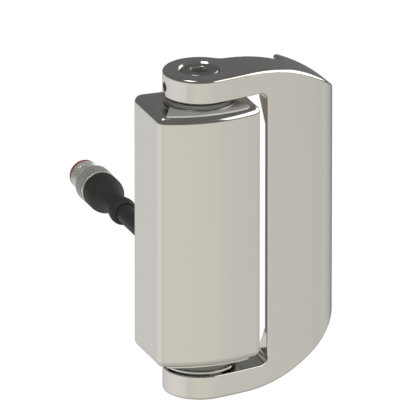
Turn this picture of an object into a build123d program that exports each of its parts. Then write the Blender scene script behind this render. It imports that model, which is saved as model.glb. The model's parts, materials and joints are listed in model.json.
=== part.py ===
from build123d import *
from math import asin, cos, degrees, radians, sin, sqrt, tan
import os

# A hinge that is also a safety switch, shown closed. Lengths are in millimetres, +Z is up and -Y
# is the front. The origin is on the fixed body's mounting face, level with the leaf's middle, and
# the hinge axis stands in front of it.
os.makedirs("parts", exist_ok=True)

# Hinge axis, hubs and arms of the moving leaf
hub_radius = 14.25
arm_thickness = 9.7
hinge_depth = 16.5
leaf_rim_radius = 1.15

# Wing of the moving leaf, seen from above
wing_start_angle = -80.0
wing_radius = 165.0
nose_radius = 28.0
wing_reach = 60.2
waist_depth = 9.0
waist_blend = 5.0
mount_pad_start = 36.0
mount_pad_blend = 3.0

# Wing of the moving leaf, seen from the front
outline_start = 15.0
outline_radius = 62.0
outline_corner = 3.0
window_edge = 24.5
window_corner = 3.5
window_edge_radius = 0.5

# Scooped back of the wing
wall_thickness = 2.4
scoop_inset = 13.8
scoop_slope = 36.0
scoop_corner = 3.0

# Fixed body, its bowed front and the low boss on each end
body_left = 21.5
body_right = 20.0
body_height = 102.0
body_rise = 1.0
body_front = 18.3
body_bow_radius = 48.0
body_corner_radius = 3.5
body_edge_radius = 2.8
boss_height = 0.25
boss_front_margin = 1.5
boss_side_margin = 3.3
boss_radius = 10.5
boss_corner = 3.0
boss_edge_radius = 0.15

# Hinge pins, bushes, thrust washers and the ring under the lower one
pin_head_radius = 7.5
pin_head_recess = 0.3
pin_head_chamfer = 0.5
counterbore_floor = 1.5
counterbore_chamfer = 0.6
pin_radius = 6.0
bush_wall = 2.0
bush_length = 16.0
flange_radius = 14.0
flange_thickness = 0.5
flange_edge_radius = 0.2
washer_radius = 13.0
upper_washer_rim = 1.5
lower_washer_thickness = 2.6
washer_neck_radius = 10.5
washer_neck_height = 0.95
washer_clearance = 0.2
ring_radius = 14.0
ring_edge_radius = 0.3
ring_neck_height = 0.8
running_clearance = 0.03
seat_clearance = 0.05
axial_play = 0.05
pin_end_gap = 0.5
hex_key_size = 6.0
hex_socket_depth = 5.0
hex_lead_in_radius = 3.75
grub_height = 4.0
grub_radius = 1.9
grub_length = 5.0
grub_key_size = 2.0
grub_key_depth = 2.0

# Seals round the pins, below the tops of the bushes
seal_cord_radius = 0.75
seal_groove_width = 1.8
seal_below_boss = 4.0
seal_wall_gap = 0.06

# Actuating spindle on the upper pin, and the magnet in its end
spindle_radius = 3.0
spindle_reach = 3.0
spindle_seal_seat = 1.7
magnet_radius = 2.0
magnet_length = 2.5

# Sensor bay, its cover, gasket and screws
bay_margin_x = 3.3
bay_margin_z = 6.0
bay_corner = 3.0
bay_front_wall = 10.0
cover_margin_x = 4.75
cover_margin_z = 15.0
cover_thickness = 3.0
cover_corner = 4.0
cover_clearance = 0.1
gasket_thickness = 1.0
cover_screw_radius = 1.25
cover_screw_head_radius = 2.5
cover_screw_length = 8.0
cover_screw_inset_x = 4.6
cover_screw_inset_z = 3.0
cover_screw_key_size = 1.5
cover_screw_key_depth = 1.0

# Sensor electronics
board_clearance = 0.3
board_thickness = 1.6
board_depth = 9.0
board_ledge = 2.0
board_notch_width = 9.0
sensor_gap = 0.5
sensor_head_width = 12.0
sensor_head_height = 7.0
sensor_head_thickness = 6.0

# Fixing holes, threaded, in the two mounting faces
body_hole_radius = 2.1
body_hole_depth = 10.0
body_hole_inset_x = 7.75
body_hole_inset_z = 9.0
leaf_hole_radius = 2.5
leaf_hole_depth = 10.0
leaf_hole_inset = 17.3
leaf_hole_reach = 48.0
hole_mouth_chamfer = 0.5

# Cable, its grommet and its cores
cable_radius = 3.75
cable_edge_gap = 0.3
cable_free_length = 67.5
cable_bay_reach = 2.0
cable_plug_reach = 8.0
core_radius = 0.6
grommet_radius = 6.0
grommet_lip_radius = 7.0
grommet_lip_thickness = 1.5

# Plug, measured from its open end towards the cable
plug_length = 47.8
seal_ring_radius = 5.9
seal_ring_thickness = 1.0
thread_radius = 6.0
thread_end = 10.8
thread_bore_radius = 4.85
thread_chamfer = 0.5
knurl_radius = 7.5
knurl_end = 19.0
knurl_groove_count = 30
knurl_groove_radius = 0.35
knurl_chamfer = 0.4
nut_rear_bore_radius = 6.6
nut_web = 1.0
nut_play = 0.2
carrier_radius = 4.6
carrier_wall = 0.55
carrier_recess = 0.3
carrier_floor = 8.5
carrier_collar_radius = 6.1
carrier_collar_thickness = 1.5
carrier_end = 26.0
key_width = 0.9
key_height = 0.5
contact_radius = 0.5
contact_circle_radius = 2.3
contact_count = 4
contact_tip = 2.2
contact_end = 27.5
grip_radius = 7.4
grip_snout_radius = 6.3
grip_front_radius = 0.4
grip_shoulder_start = 24.5
grip_shoulder_radius = 6.3
grip_shoulder_end = 29.0
neck_radius = 4.3
neck_position = 38.5
collar_radius = 5.4
collar_position = 44.8
collar_end_radius = 4.4

# Levels and sizes that follow from the values above
body_width = body_left + body_right
body_top = body_height / 2 + body_rise
body_bottom = body_rise - body_height / 2
boss_top = body_top + boss_height
boss_bottom = body_bottom - boss_height
flange_top = boss_top + flange_thickness
flange_bottom = boss_bottom - flange_thickness
arm_inner = flange_top + upper_washer_rim + washer_neck_height + 2 * axial_play
top = arm_inner + arm_thickness
scoop_top = arm_inner - scoop_inset
leaf_hole_level = arm_inner - leaf_hole_inset
bush_bore_radius = pin_radius + running_clearance
bush_radius = bush_bore_radius + bush_wall
bush_end = boss_top - bush_length
lower_bush_end = boss_bottom + bush_length
pin_end = bush_end + pin_end_gap
lower_pin_end = lower_bush_end - pin_end_gap
counterbore_end = arm_inner + counterbore_floor
counterbore_radius = pin_head_radius + seat_clearance
pin_head_top = top - pin_head_recess
seal_level = boss_top - seal_below_boss
lower_seal_level = boss_bottom + seal_below_boss
seal_ring_middle = bush_bore_radius - seal_wall_gap - seal_cord_radius
seal_groove_floor = seal_ring_middle - seal_cord_radius - seal_wall_gap
spindle_hole_radius = spindle_radius + running_clearance
spindle_seal_middle = spindle_hole_radius + seal_cord_radius
spindle_seal_level = bush_end - spindle_seal_seat / 2
grub_level = arm_inner + grub_height
washer_base = flange_top + axial_play
lower_washer_top = flange_bottom - axial_play
ring_top = lower_washer_top - lower_washer_thickness - axial_play
ring_base = axial_play - arm_inner
cover_inner = -cover_thickness
gasket_inner = cover_inner - gasket_thickness
cover_width = body_width - 2 * cover_margin_x
cover_height = body_height - 2 * cover_margin_z
bay_width = cover_width - 2 * bay_margin_x
bay_height = cover_height - 2 * bay_margin_z
bay_front_top = bay_height / 2 - board_ledge
spindle_end_level = bay_front_top - spindle_reach
cable_height = cable_edge_gap + grommet_lip_radius - bay_height / 2
bay_front = -hinge_depth - body_front + bay_front_wall
board_rear = gasket_inner - board_depth
board_front = board_rear - board_thickness
board_width = bay_width - 2 * board_clearance
board_height = bay_height - 2 * board_clearance
notch_level = spindle_end_level - sensor_gap
cable_start = gasket_inner - cable_bay_reach
cable_end = cable_free_length + cable_plug_reach
plug_tip = cable_free_length + plug_length
nut_start = seal_ring_thickness + seat_clearance
collar_start = thread_end + nut_web + nut_play
collar_end = collar_start + carrier_collar_thickness
grip_start = knurl_end + nut_play
grip_bore_end = carrier_end

# Places: the hinge axis, upright sections through it, the mounting face seen from behind, and a
# section along the cable.
hinge = Plane(origin=(0, -hinge_depth, 0))
hinge_axis = Axis((0, -hinge_depth, 0), (0, 0, 1))
hinge_front = Plane(origin=(0, -hinge_depth, 0), x_dir=(1, 0, 0), z_dir=(0, -1, 0))
hinge_side = Plane(origin=(0, -hinge_depth, 0), x_dir=(0, 1, 0), z_dir=(1, 0, 0))
mount_face = Plane(origin=(0, 0, 0), x_dir=(-1, 0, 0), z_dir=(0, 1, 0))
plug_section = Plane(origin=(0, 0, cable_height), x_dir=(0, 1, 0), z_dir=(1, 0, 0))
plug_axis = Axis((0, 0, cable_height), (0, 1, 0))


def across_cable(depth):
    """Plane across the cable's axis, facing back, at a distance behind the mounting face."""
    return Plane(origin=(0, depth, cable_height), x_dir=(-1, 0, 0), z_dir=(0, 1, 0))


def on_plug(position, radius):
    """Point of the plug's section, at a position from its open end and a radius."""
    return (plug_tip - position, radius)


def arc_point(centre, radius, first, second):
    """Middle point of the short arc between two points about a centre."""
    return centre + ((first + second) * 0.5 - centre).normalized() * radius


def nose_centre_for(centre, distance, tip, radius):
    """Point at a distance from a centre and a radius from the wing's tip, on the mounting side."""
    across = tip - centre
    along = (distance**2 - radius**2 + across.length**2) / (2 * across.length)
    offset = sqrt(distance**2 - along**2)
    direction = across.normalized()
    return centre + direction * along + Vector(direction.Y, -direction.X) * offset


# The wing's front is one long arc that leaves the hub tangentially. A nose arc, tangent to it,
# brings it back to the mounting face at the wing's outer edge.
start_direction = Vector(cos(radians(wing_start_angle)), sin(radians(wing_start_angle)))
wing_start = start_direction * hub_radius
wing_centre = start_direction * (hub_radius - wing_radius)
wing_tip = Vector(wing_reach, hinge_depth)
nose_centre = nose_centre_for(wing_centre, wing_radius - nose_radius, wing_tip, nose_radius)
nose_start = wing_centre + (nose_centre - wing_centre).normalized() * wing_radius

# The scoop leaves a wall of even thickness behind that arc, and its ends slope back to the arms.
inner_wall_radius = wing_radius - wall_thickness


def inner_wall_point(reach):
    """Point on the inside of the wing's front wall, at a distance from the hinge axis."""
    rise = sqrt(inner_wall_radius**2 - (reach - wing_centre.X) ** 2)
    return Vector(reach, wing_centre.Y - rise)


scoop_near = inner_wall_point(window_edge - window_corner)
scoop_far = inner_wall_point(mount_pad_start)
scoop_back = hinge_depth + mount_pad_blend
scoop_depth_ratio = tan(radians(scoop_slope))
scoop_turn = inner_wall_point(window_edge).Y + (arm_inner - scoop_top) * scoop_depth_ratio
scoop_apex = scoop_turn - arm_inner * scoop_depth_ratio

with BuildPart() as scoop:
    with BuildSketch(hinge.offset(-arm_inner)):
        with BuildLine():
            ThreePointArc(
                scoop_near, arc_point(wing_centre, inner_wall_radius, scoop_near, scoop_far), scoop_far
            )
            Polyline(scoop_far, (scoop_far.X, scoop_back), (scoop_near.X, scoop_back), scoop_near)
        plan = make_face()
        fillet(plan.vertices().sort_by_distance(scoop_far)[0], radius=scoop_corner)
    extrude(amount=2 * arm_inner)
    with BuildSketch(hinge_side):
        with BuildLine():
            Polyline(
                (scoop_apex, 0),
                (scoop_turn, arm_inner),
                (scoop_back, arm_inner),
                (scoop_back, -arm_inner),
                (scoop_turn, -arm_inner),
                close=True,
            )
        make_face()
    extrude(amount=mount_pad_start, mode=Mode.INTERSECT)

# Moving leaf: one casting with two hub arms, the window for the fixed body between them, a thin
# curved front and a thick pad that carries its mounting face.
waist_angle = degrees(asin(waist_depth / hub_radius))

with BuildPart() as leaf:
    with BuildSketch(hinge.offset(-top)):
        with BuildLine():
            hub_arc = CenterArc((0, 0), hub_radius, waist_angle, 360 + wing_start_angle - waist_angle)
            ThreePointArc(
                hub_arc @ 1, arc_point(wing_centre, wing_radius, wing_start, nose_start), nose_start
            )
            ThreePointArc(
                nose_start, arc_point(nose_centre, nose_radius, nose_start, wing_tip), wing_tip
            )
            Polyline(
                wing_tip,
                (mount_pad_start, hinge_depth),
                (mount_pad_start, waist_depth),
                hub_arc @ 0,
            )
        plan = make_face()
        fillet(plan.vertices().sort_by_distance(hub_arc @ 0)[0], radius=waist_blend)
        waist_corner = Vector(mount_pad_start, waist_depth)
        fillet(plan.vertices().sort_by_distance(waist_corner)[0], radius=mount_pad_blend)
    extrude(amount=2 * top)
    with BuildSketch(hinge_front):
        with BuildLine():
            drop = sqrt(outline_radius**2 - (wing_reach - outline_start) ** 2)
            corner_level = top - outline_radius + drop
            outline_centre = Vector(outline_start, top - outline_radius)
            outline_top = Vector(outline_start, top)
            outline_end = Vector(wing_reach, corner_level)
            outline_middle = arc_point(outline_centre, outline_radius, outline_top, outline_end)
            upper = ThreePointArc(outline_top, outline_middle, outline_end)
            lower = mirror(upper, about=Plane.XZ)
            Line(upper @ 1, (wing_reach, -corner_level))
            Polyline(
                upper @ 0,
                (-hub_radius, top),
                (-hub_radius, -top),
                (outline_start, -top),
            )
        outline = make_face()
        fillet(outline.vertices().group_by(Axis.X)[-1], radius=outline_corner)
    extrude(amount=2 * hub_radius, both=True, mode=Mode.INTERSECT)
    rim = leaf.edges().filter_by(Axis.Z, reverse=True)
    rim = rim.filter_by(lambda edge: edge.bounding_box().min.Y < -seat_clearance)
    fillet(rim, radius=leaf_rim_radius)
    # Window for the fixed body, with rounded corners on the wing's side
    with BuildSketch(hinge_front):
        with Locations((window_edge / 2 - hub_radius, 0)):
            gap = Rectangle(window_edge + 2 * hub_radius, 2 * arm_inner)
        fillet(gap.vertices().group_by(Axis.X)[-1], radius=window_corner)
    extrude(amount=2 * hub_radius, both=True, mode=Mode.SUBTRACT)
    mouth = leaf.edges().filter_by(lambda edge: abs(edge.center().Z) < arm_inner + seat_clearance)
    mouth = mouth.filter_by(lambda edge: edge.bounding_box().max.X < window_edge + seat_clearance)
    mouth = mouth.filter_by(lambda edge: edge.bounding_box().max.Y < -hinge_depth)
    fillet(mouth, radius=window_edge_radius)
    add(scoop.part, mode=Mode.SUBTRACT)
    # Counterbored seats for the two pins
    with Locations(hinge.offset(top), -hinge.offset(-top)):
        CounterBoreHole(
            radius=pin_radius + seat_clearance,
            counter_bore_radius=counterbore_radius,
            counter_bore_depth=top - counterbore_end,
            depth=arm_thickness,
        )
        Cone(
            bottom_radius=counterbore_radius,
            top_radius=counterbore_radius + counterbore_chamfer,
            height=counterbore_chamfer,
            align=(Align.CENTER, Align.CENTER, Align.MAX),
            mode=Mode.SUBTRACT,
        )
    # Threaded hole for the grub screw in the upper hub
    with Locations(Location((-hub_radius, -hinge_depth, grub_level), (0, -90, 0))):
        Hole(radius=grub_radius + seat_clearance, depth=hub_radius - pin_radius)
    # Threaded fixing holes in the back of the pad
    with Locations(mount_face):
        with Locations((-leaf_hole_reach, leaf_hole_level), (-leaf_hole_reach, -leaf_hole_level)):
            CounterSinkHole(
                radius=leaf_hole_radius,
                counter_sink_radius=leaf_hole_radius + hole_mouth_chamfer,
                depth=leaf_hole_depth,
                counter_sink_angle=90,
            )

leaf.part.label = "leaf"
export_step(leaf.part, "parts/leaf.step")

# Upper pin: its head is locked in the leaf's hub, its shaft turns in the body's bush, and its
# spindle carries the magnet past a seal into the sensor bay.
with BuildPart() as upper_pin:
    with BuildSketch(hinge_front):
        with BuildLine():
            Polyline(
                (0, spindle_end_level),
                (spindle_radius, spindle_end_level),
                (spindle_radius, pin_end),
                (pin_radius, pin_end),
                (pin_radius, seal_level - seal_groove_width / 2),
                (seal_groove_floor, seal_level - seal_groove_width / 2),
                (seal_groove_floor, seal_level + seal_groove_width / 2),
                (pin_radius, seal_level + seal_groove_width / 2),
                (pin_radius, counterbore_end),
                (pin_head_radius, counterbore_end),
                (pin_head_radius, pin_head_top - pin_head_chamfer),
                (pin_head_radius - pin_head_chamfer, pin_head_top),
                (0, pin_head_top),
                close=True,
            )
        make_face()
    revolve(axis=hinge_axis)
    with BuildSketch(hinge.offset(pin_head_top)):
        RegularPolygon(radius=hex_key_size / 2, side_count=6, major_radius=False)
    extrude(amount=-hex_socket_depth, mode=Mode.SUBTRACT)
    with Locations((0, -hinge_depth, pin_head_top)):
        Cone(
            bottom_radius=0,
            top_radius=hex_lead_in_radius,
            height=hex_lead_in_radius,
            align=(Align.CENTER, Align.CENTER, Align.MAX),
            mode=Mode.SUBTRACT,
        )
    with BuildSketch(hinge.offset(spindle_end_level)):
        Circle(magnet_radius + seat_clearance)
    extrude(amount=magnet_length, mode=Mode.SUBTRACT)

upper_pin.part.label = "upper_pin"
export_step(upper_pin.part, "parts/upper_pin.step")

# Lower pin: the same head and shaft, pressed into the lower hub
with BuildPart() as lower_pin:
    with BuildSketch(hinge_front):
        with BuildLine():
            Polyline(
                (0, lower_pin_end),
                (pin_radius, lower_pin_end),
                (pin_radius, lower_seal_level + seal_groove_width / 2),
                (seal_groove_floor, lower_seal_level + seal_groove_width / 2),
                (seal_groove_floor, lower_seal_level - seal_groove_width / 2),
                (pin_radius, lower_seal_level - seal_groove_width / 2),
                (pin_radius, -counterbore_end),
                (pin_head_radius, -counterbore_end),
                (pin_head_radius, -pin_head_top + pin_head_chamfer),
                (pin_head_radius - pin_head_chamfer, -pin_head_top),
                (0, -pin_head_top),
                close=True,
            )
        make_face()
    revolve(axis=hinge_axis)

lower_pin.part.label = "lower_pin"
export_step(lower_pin.part, "parts/lower_pin.step")

# Grub screw that locks the upper pin's angle
with BuildPart() as grub_screw:
    grub_tip = Plane(
        origin=(-pin_head_radius - seat_clearance, -hinge_depth, grub_level), z_dir=(-1, 0, 0)
    )
    with BuildSketch(grub_tip):
        Circle(grub_radius)
    extrude(amount=grub_length)
    with BuildSketch(grub_tip.offset(grub_length)):
        RegularPolygon(radius=grub_key_size / 2, side_count=6, major_radius=False)
    extrude(amount=-grub_key_depth, mode=Mode.SUBTRACT)

grub_screw.part.label = "grub_screw"
export_step(grub_screw.part, "parts/grub_screw.step")

# Magnet in the end of the spindle, which the sensor head reads
with BuildPart() as magnet:
    with BuildSketch(hinge.offset(spindle_end_level)):
        Circle(magnet_radius)
    extrude(amount=magnet_length)

magnet.part.label = "magnet"
export_step(magnet.part, "parts/magnet.step")


# Seals: a round cord ring in each pin's groove, and one round the spindle in the body
def seal_section(level, middle):
    """Circle of a seal's cord in the upright section through the hinge axis."""
    with Locations((middle, level)):
        return Circle(seal_cord_radius)


with BuildPart() as upper_seal:
    with BuildSketch(hinge_front):
        seal_section(seal_level, seal_ring_middle)
    revolve(axis=hinge_axis)

upper_seal.part.label = "upper_seal"
export_step(upper_seal.part, "parts/upper_seal.step")

with BuildPart() as lower_seal:
    with BuildSketch(hinge_front):
        seal_section(lower_seal_level, seal_ring_middle)
    revolve(axis=hinge_axis)

lower_seal.part.label = "lower_seal"
export_step(lower_seal.part, "parts/lower_seal.step")

with BuildPart() as spindle_seal:
    with BuildSketch(hinge_front):
        seal_section(spindle_seal_level, spindle_seal_middle)
    revolve(axis=hinge_axis)

spindle_seal.part.label = "spindle_seal"
export_step(spindle_seal.part, "parts/spindle_seal.step")

# Flanged bushes, pressed into the body's ends
with BuildPart() as upper_bush:
    with BuildSketch(hinge_front):
        with BuildLine():
            Polyline(
                (bush_bore_radius, bush_end),
                (bush_radius, bush_end),
                (bush_radius, boss_top),
                (flange_radius, boss_top),
                (flange_radius, flange_top),
                (bush_bore_radius, flange_top),
                close=True,
            )
        wall = make_face()
        fillet(wall.vertices().group_by(Axis.X)[-1], radius=flange_edge_radius)
    revolve(axis=hinge_axis)

upper_bush.part.label = "upper_bush"
export_step(upper_bush.part, "parts/upper_bush.step")

with BuildPart() as lower_bush:
    mirror(upper_bush.part, about=Plane.XY.offset(body_rise))

lower_bush.part.label = "lower_bush"
export_step(lower_bush.part, "parts/lower_bush.step")

# Thrust washers: the upper one fills the gap between its bush's flange and the leaf's upper arm. The
# lower one stands on a wider ring, on the lower arm.
with BuildPart() as upper_washer:
    with BuildSketch(hinge_front):
        with BuildLine():
            Polyline(
                (pin_radius + washer_clearance, washer_base),
                (washer_radius, washer_base),
                (washer_radius, washer_base + upper_washer_rim),
                (washer_neck_radius, washer_base + upper_washer_rim),
                (washer_neck_radius, arm_inner - axial_play),
                (pin_radius + washer_clearance, arm_inner - axial_play),
                close=True,
            )
        make_face()
    revolve(axis=hinge_axis)

upper_washer.part.label = "upper_washer"
export_step(upper_washer.part, "parts/upper_washer.step")

with BuildPart() as lower_washer:
    with BuildSketch(hinge.offset(lower_washer_top)):
        Circle(washer_radius)
        Circle(pin_radius + washer_clearance, mode=Mode.SUBTRACT)
    extrude(amount=-lower_washer_thickness)

lower_washer.part.label = "lower_washer"
export_step(lower_washer.part, "parts/lower_washer.step")

with BuildPart() as lower_ring:
    with BuildSketch(hinge_front):
        with BuildLine():
            Polyline(
                (pin_radius + washer_clearance, ring_top),
                (ring_radius, ring_top),
                (ring_radius, ring_base + ring_neck_height),
                (washer_neck_radius, ring_base + ring_neck_height),
                (washer_neck_radius, ring_base),
                (pin_radius + washer_clearance, ring_base),
                close=True,
            )
        wall = make_face()
        fillet(wall.vertices().group_by(Axis.X)[-1], radius=ring_edge_radius)
    revolve(axis=hinge_axis)

lower_ring.part.label = "lower_ring"
export_step(lower_ring.part, "parts/lower_ring.step")

# Fixed body: a bowed casting with soft edges, a low boss on each end, the bushes' bores, the sensor
# bay behind and the threaded fixing holes in its mounting face.
bow_centre = Vector(0, body_bow_radius - body_front)


def bow_point(reach, margin):
    """Point of the bowed front at a distance to the right, set in by a margin."""
    return Vector(reach, bow_centre.Y - sqrt((body_bow_radius - margin) ** 2 - reach**2))


with BuildPart() as fixed_body:
    with BuildSketch(hinge.offset(body_bottom)):
        with BuildLine():
            left, right = bow_point(-body_left, 0), bow_point(body_right, 0)
            ThreePointArc(left, (0, -body_front), right)
            Polyline(right, (body_right, hinge_depth), (-body_left, hinge_depth), left)
        make_face()
    extrude(amount=body_height)
    fillet(fixed_body.edges().filter_by(Axis.Z), radius=body_corner_radius)
    ends = fixed_body.faces().filter_by(Axis.Z)
    fillet(ends.edges(), radius=body_edge_radius)
    for end, level in ((1, body_top), (-1, body_bottom)):
        with BuildSketch(hinge.offset(level - end * body_edge_radius)):
            with BuildLine():
                left = bow_point(boss_side_margin - body_left, boss_front_margin)
                right = bow_point(body_right - boss_side_margin, boss_front_margin)
                ThreePointArc(left, (0, boss_front_margin - body_front), right)
                CenterArc((0, 0), boss_radius, 0, 360)
            boss = make_hull()
            fillet(boss.vertices().group_by(Axis.Y)[0], radius=boss_corner)
        extrude(amount=end * (body_edge_radius + boss_height))
    rims = fixed_body.edges().filter_by(
        lambda edge: abs(edge.center().Z - body_rise) > body_height / 2 + boss_height / 2
    )
    fillet(rims, radius=boss_edge_radius)
    with Locations(hinge.offset(boss_top), -hinge.offset(boss_bottom)):
        Hole(radius=bush_radius + seat_clearance, depth=bush_length)
    # Sensor bay: a wide rear part, a ledge for the board and a narrower front part
    with BuildSketch(mount_face.offset(gasket_inner)):
        RectangleRounded(bay_width, bay_height, bay_corner)
    extrude(amount=board_front - gasket_inner, mode=Mode.SUBTRACT)
    with BuildSketch(mount_face.offset(board_front)):
        RectangleRounded(bay_width - 2 * board_ledge, bay_height - 2 * board_ledge, bay_corner)
    extrude(amount=bay_front - board_front, mode=Mode.SUBTRACT)
    # Recess for the cover and its gasket
    with BuildSketch(mount_face):
        RectangleRounded(
            cover_width + 2 * cover_clearance, cover_height + 2 * cover_clearance, cover_corner
        )
    extrude(amount=gasket_inner, mode=Mode.SUBTRACT)
    # Way for the spindle into the bay, with its seal's seat
    with BuildSketch(hinge.offset(bush_end)):
        Circle(spindle_hole_radius)
    extrude(amount=bay_front_top - bush_end, mode=Mode.SUBTRACT)
    with BuildSketch(hinge.offset(bush_end)):
        Circle(spindle_seal_middle + seal_cord_radius + seat_clearance)
    extrude(amount=-spindle_seal_seat, mode=Mode.SUBTRACT)
    # Threaded holes: four for fixing the body, and four for the cover's screws
    with Locations(mount_face):
        with GridLocations(
            body_width - 2 * body_hole_inset_x, body_height - 2 * body_hole_inset_z, 2, 2
        ):
            CounterSinkHole(
                radius=body_hole_radius,
                counter_sink_radius=body_hole_radius + hole_mouth_chamfer,
                depth=body_hole_depth,
                counter_sink_angle=90,
            )
    cover_screw_places = GridLocations(
        cover_width - 2 * cover_screw_inset_x, cover_height - 2 * cover_screw_inset_z, 2, 2
    )
    with Locations(mount_face.offset(gasket_inner)):
        with Locations(cover_screw_places.locations):
            Hole(cover_screw_radius + seat_clearance, depth=cover_screw_length - cover_thickness)

fixed_body.part.label = "fixed_body"
export_step(fixed_body.part, "parts/fixed_body.step")

# Cover over the bay, flush with the mounting face, with the cable's hole and countersunk holes
with BuildPart() as rear_cover:
    with BuildSketch(mount_face):
        RectangleRounded(cover_width, cover_height, cover_corner)
        with Locations((0, cable_height)):
            Circle(grommet_radius, mode=Mode.SUBTRACT)
    extrude(amount=-cover_thickness)
    with Locations(mount_face):
        with Locations(cover_screw_places.locations):
            CounterSinkHole(
                radius=cover_screw_radius + seat_clearance,
                counter_sink_radius=cover_screw_head_radius + seat_clearance,
                depth=cover_thickness,
                counter_sink_angle=90,
            )

rear_cover.part.label = "rear_cover"
export_step(rear_cover.part, "parts/rear_cover.step")

# Gasket between the cover and the body
with BuildPart() as cover_gasket:
    with BuildSketch(mount_face.offset(cover_inner)):
        RectangleRounded(cover_width, cover_height, cover_corner)
        RectangleRounded(bay_width, bay_height, bay_corner, mode=Mode.SUBTRACT)
        with Locations(cover_screw_places.locations):
            Circle(cover_screw_radius + seat_clearance, mode=Mode.SUBTRACT)
    extrude(amount=-gasket_thickness)

cover_gasket.part.label = "cover_gasket"
export_step(cover_gasket.part, "parts/cover_gasket.step")

# Four countersunk screws for the cover
with BuildPart() as cover_screws:
    with Locations(mount_face):
        with Locations(cover_screw_places.locations):
            Cylinder(
                cover_screw_radius, cover_screw_length, align=(Align.CENTER, Align.CENTER, Align.MAX)
            )
            Cone(
                bottom_radius=0,
                top_radius=cover_screw_head_radius,
                height=cover_screw_head_radius,
                align=(Align.CENTER, Align.CENTER, Align.MAX),
            )
    with BuildSketch(mount_face):
        with Locations(cover_screw_places.locations):
            RegularPolygon(radius=cover_screw_key_size / 2, side_count=6, major_radius=False)
    extrude(amount=-cover_screw_key_depth, mode=Mode.SUBTRACT)

cover_screws.part.label = "cover_screws"
export_step(cover_screws.part, "parts/cover_screws.step")

# Sensor board on the bay's ledge, notched at the top for the spindle
with BuildPart() as sensor_board:
    with BuildSketch(mount_face.offset(board_rear)):
        RectangleRounded(board_width, board_height, bay_corner - board_clearance)
        with Locations((0, notch_level)):
            Rectangle(
                board_notch_width,
                board_height,
                align=(Align.CENTER, Align.MIN),
                mode=Mode.SUBTRACT,
            )
    extrude(amount=-board_thickness)

sensor_board.part.label = "sensor_board"
export_step(sensor_board.part, "parts/sensor_board.step")

# Sensor head on the board's front face, just below the spindle's magnet
with BuildPart() as sensor_head:
    with BuildSketch(mount_face.offset(board_front)):
        with Locations((0, notch_level)):
            Rectangle(sensor_head_width, sensor_head_height, align=(Align.CENTER, Align.MAX))
    extrude(amount=-sensor_head_thickness)

sensor_head.part.label = "sensor_head"
export_step(sensor_head.part, "parts/sensor_head.step")

# Grommet where the cable passes through the cover
with BuildPart() as cable_grommet:
    with BuildSketch(across_cable(0)):
        Circle(grommet_radius)
        Circle(cable_radius, mode=Mode.SUBTRACT)
    extrude(amount=-cover_thickness)
    with BuildSketch(across_cable(cover_inner)):
        Circle(grommet_lip_radius)
        Circle(cable_radius, mode=Mode.SUBTRACT)
    extrude(amount=-grommet_lip_thickness)

cable_grommet.part.label = "cable_grommet"
export_step(cable_grommet.part, "parts/cable_grommet.step")

# Cores of the cable inside the bay, up to the board
with BuildPart() as bay_cores:
    with BuildSketch(across_cable(cable_start)):
        with PolarLocations(contact_circle_radius, contact_count, start_angle=45):
            Circle(core_radius)
    extrude(amount=board_rear - cable_start)

bay_cores.part.label = "bay_cores"
export_step(bay_cores.part, "parts/bay_cores.step")

# Cable, straight from the bay to the plug
with BuildPart() as cable:
    with BuildSketch(across_cable(cable_start)):
        Circle(cable_radius)
    extrude(amount=cable_end - cable_start)

cable.part.label = "cable"
export_step(cable.part, "parts/cable.step")

# Cores inside the plug, from the cable's end to the contacts
with BuildPart() as plug_cores:
    with BuildSketch(across_cable(cable_end)):
        with PolarLocations(contact_circle_radius, contact_count, start_angle=45):
            Circle(core_radius)
    extrude(amount=plug_tip - contact_end - cable_end)

plug_cores.part.label = "plug_cores"
export_step(plug_cores.part, "parts/plug_cores.step")

# Plug's moulded grip: a snout inside the nut, a barrel, a waist and a collar round the cable
with BuildPart() as plug_grip:
    with BuildSketch(plug_section):
        with BuildLine():
            Polyline(
                on_plug(plug_length, collar_end_radius),
                on_plug(plug_length, cable_radius),
                on_plug(grip_bore_end, cable_radius),
                on_plug(grip_bore_end, carrier_radius),
                on_plug(collar_end, carrier_radius),
                on_plug(collar_end, grip_snout_radius),
                on_plug(grip_start, grip_snout_radius),
                on_plug(grip_start, grip_radius - grip_front_radius),
            )
            RadiusArc(
                on_plug(grip_start, grip_radius - grip_front_radius),
                on_plug(grip_start + grip_front_radius, grip_radius),
                grip_front_radius,
            )
            Line(
                on_plug(grip_start + grip_front_radius, grip_radius),
                on_plug(grip_shoulder_start, grip_radius),
            )
            Spline(
                on_plug(grip_shoulder_start, grip_radius),
                on_plug(grip_shoulder_end, grip_shoulder_radius),
                on_plug(neck_position, neck_radius),
                on_plug(collar_position, collar_radius),
                tangents=((-1, 0), (-1, 0)),
            )
            Spline(
                on_plug(collar_position, collar_radius),
                on_plug(plug_length, collar_end_radius),
                tangents=((-1, 0), (-1, -1)),
            )
        make_face()
    revolve(axis=plug_axis)

plug_grip.part.label = "plug_grip"
export_step(plug_grip.part, "parts/plug_grip.step")

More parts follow.
